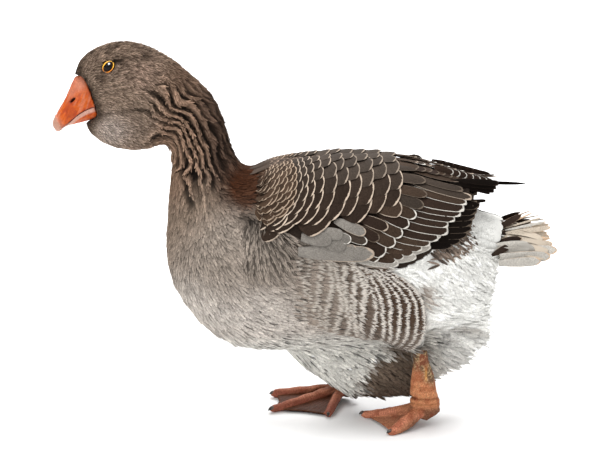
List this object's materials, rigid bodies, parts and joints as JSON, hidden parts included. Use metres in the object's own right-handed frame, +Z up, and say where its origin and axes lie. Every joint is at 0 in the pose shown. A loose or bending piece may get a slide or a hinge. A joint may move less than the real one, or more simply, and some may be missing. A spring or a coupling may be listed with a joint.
{
  "type": "domestic goose, still life-size model",
  "caption": "Life-size standing model of a heavy grey domestic goose with a throat bag and a low paunch, in mid-step, in named body parts.",
  "frame": {"origin": "on the floor under the middle of the bird's overall box", "axes": "+X the way the bill points, +Y the bird's left side, +Z up"},
  "size_m": [0.6484, 0.256, 0.493],
  "materials": {
    "head_plumage": "short matte grey-brown feathers, furrowed on the neck",
    "body_plumage": "matte grey-brown feathers with pale edges",
    "white_plumage": "soft off-white feathers",
    "wing_plumage": "firm dark grey-brown feathers with buff white edges",
    "flight_quills": "firm black-brown quills, satin",
    "tail_plumage": "firm brown and cream-white quills",
    "leg_skin": "orange scaly skin, slightly waxy",
    "claw_horn": "dark horn",
    "bill_horn": "satin orange horn with a pale nail",
    "eye": "wet dark eye with an orange rim"
  },
  "bodies": {
    "root": {"head": "head_plumage", "neck_upper": "head_plumage", "neck_lower": "body_plumage", "dewlap": "head_plumage", "breast": "body_plumage", "trunk": "body_plumage", "rump": "white_plumage", "belly": "white_plumage", "wing_left": "wing_plumage", "wing_right": "wing_plumage", "primaries_left": "flight_quills", "primaries_right": "flight_quills", "tail": "tail_plumage", "thigh_left": "body_plumage", "thigh_right": "body_plumage", "shank_left": "leg_skin", "shank_right": "leg_skin", "foot_left": "leg_skin", "foot_right": "leg_skin", "claw_inner_left": "claw_horn", "claw_middle_left": "claw_horn", "claw_outer_left": "claw_horn", "claw_hind_left": "claw_horn", "claw_inner_right": "claw_horn", "claw_middle_right": "claw_horn", "claw_outer_right": "claw_horn", "claw_hind_right": "claw_horn", "bill_upper": "bill_horn", "bill_lower": "bill_horn", "eye_left": "eye", "eye_right": "eye"}
  },
  "joints": []
}
